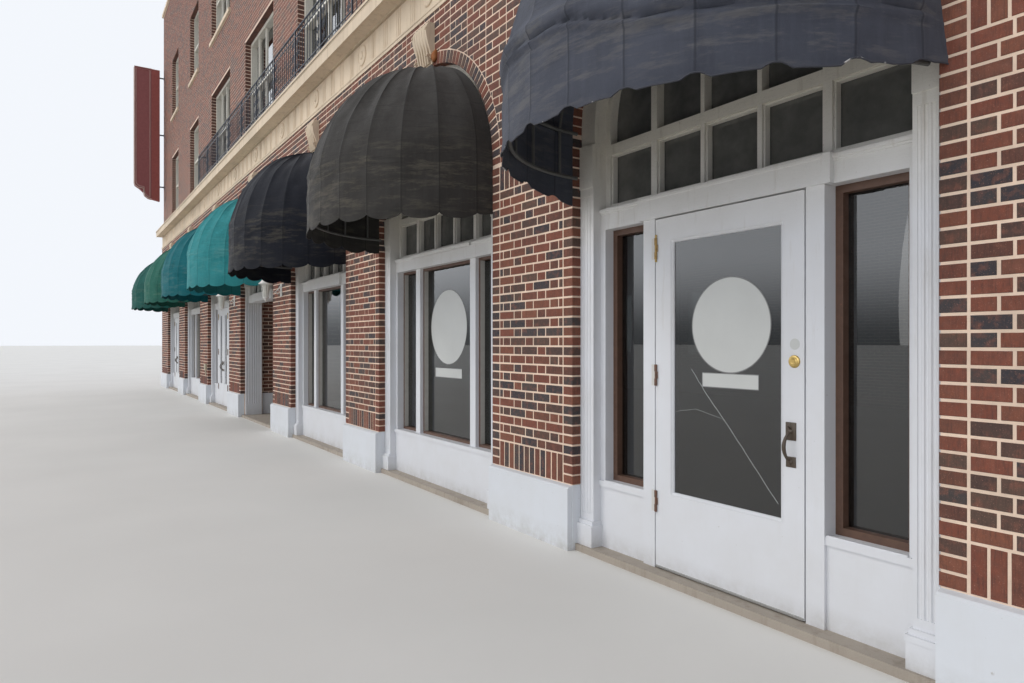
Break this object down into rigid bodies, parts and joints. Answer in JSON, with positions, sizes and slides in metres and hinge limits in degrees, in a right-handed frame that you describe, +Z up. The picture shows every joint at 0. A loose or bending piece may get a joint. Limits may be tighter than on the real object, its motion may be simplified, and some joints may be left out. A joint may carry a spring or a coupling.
{
  "type": "corner shop building",
  "caption": "Three-storey brick corner shop building with arched shopfronts under dome awnings, stone cornice with iron balcony rail and hinged shop doors.",
  "frame": {"origin": "centre of the building's footprint on the pavement, under the ground slab", "axes": "+X along the street front, the street side is -Y, +Z up"},
  "size_m": [25.415, 13.123, 12.22],
  "materials": {
    "brick": "mixed red, brown and blue-grey brick with cream mortar",
    "brick_upper": "red brick with cream mortar",
    "limestone": "warm carved limestone, weathered",
    "concrete": "smooth concrete",
    "white_paint": "white paint, peeling in places",
    "brown_paint": "brown paint",
    "floor_boards": "boards",
    "roof_felt": "matte roofing membrane",
    "glass": "clear",
    "black_iron": "satin blue-black",
    "awning_cloth": "matte canvas",
    "sign_paint": "faded red",
    "white_metal": "satin white",
    "bronze": "dark bronze"
  },
  "bodies": {
    "building": {"ground_slab": "concrete", "street_piers": "brick", "arch_wall": "brick", "pier_plinths": "white_paint", "keystones": "limestone", "architrave": "limestone", "frieze": "limestone", "cornice": "limestone", "upper_wall": "brick_upper", "side_wall": "brick_upper", "party_wall": "brick_upper", "rear_wall": "brick_upper", "coping": "limestone", "upper_floors": "floor_boards", "roof_deck": "roof_felt", "shop_pilasters": "white_paint", "shop_frames": "white_paint", "shop_sashes": "brown_paint", "shop_glass": "glass", "fanlights": "white_paint", "vestibule_walls": "brick", "vestibule_ceiling": "white_paint", "inner_doors": "brown_paint", "door_hinges": "bronze", "window_frames": "white_paint", "window_glass": "glass", "window_sills": "limestone", "balcony_railing": "black_iron", "awnings": "awning_cloth", "awning_frames": "black_iron", "blade_sign": "sign_paint", "lanterns": "white_metal", "lantern_glass": "glass"},
    "door_a_leaf": {"door_a": "white_paint", "door_a_glass": "glass", "door_a_hardware": "bronze"},
    "door_e_left_leaf": {"door_e_left": "white_paint", "door_e_left_glass": "glass", "door_e_left_hardware": "bronze"},
    "door_e_right_leaf": {"door_e_right": "white_paint", "door_e_right_glass": "glass", "door_e_right_hardware": "bronze"},
    "door_g_left_leaf": {"door_g_left": "white_paint", "door_g_left_glass": "glass", "door_g_left_hardware": "bronze"},
    "door_g_right_leaf": {"door_g_right": "white_paint", "door_g_right_glass": "glass", "door_g_right_hardware": "bronze"}
  },
  "joints": [
    {"name": "door_a_swing", "type": "hinge", "parent": "building", "child": "door_a_leaf", "pos_m": [9.57, -5.8475, 0.045], "axis": [0, 0, -1], "range_deg": [0, 95]},
    {"name": "door_e_left_swing", "type": "hinge", "parent": "building", "child": "door_e_left_leaf", "pos_m": [-3.842, -5.8475, 0.045], "axis": [0, 0, -1], "range_deg": [0, 95]},
    {"name": "door_e_right_swing", "type": "hinge", "parent": "building", "child": "door_e_right_leaf", "pos_m": [-2.864, -5.8475, 0.045], "axis": [0, 0, 1], "range_deg": [0, 95]},
    {"name": "door_g_left_swing", "type": "hinge", "parent": "building", "child": "door_g_left_leaf", "pos_m": [-10.548, -5.8475, 0.045], "axis": [0, 0, -1], "range_deg": [0, 95]},
    {"name": "door_g_right_swing", "type": "hinge", "parent": "building", "child": "door_g_right_leaf", "pos_m": [-9.57, -5.8475, 0.045], "axis": [0, 0, 1], "range_deg": [0, 95]}
  ]
}
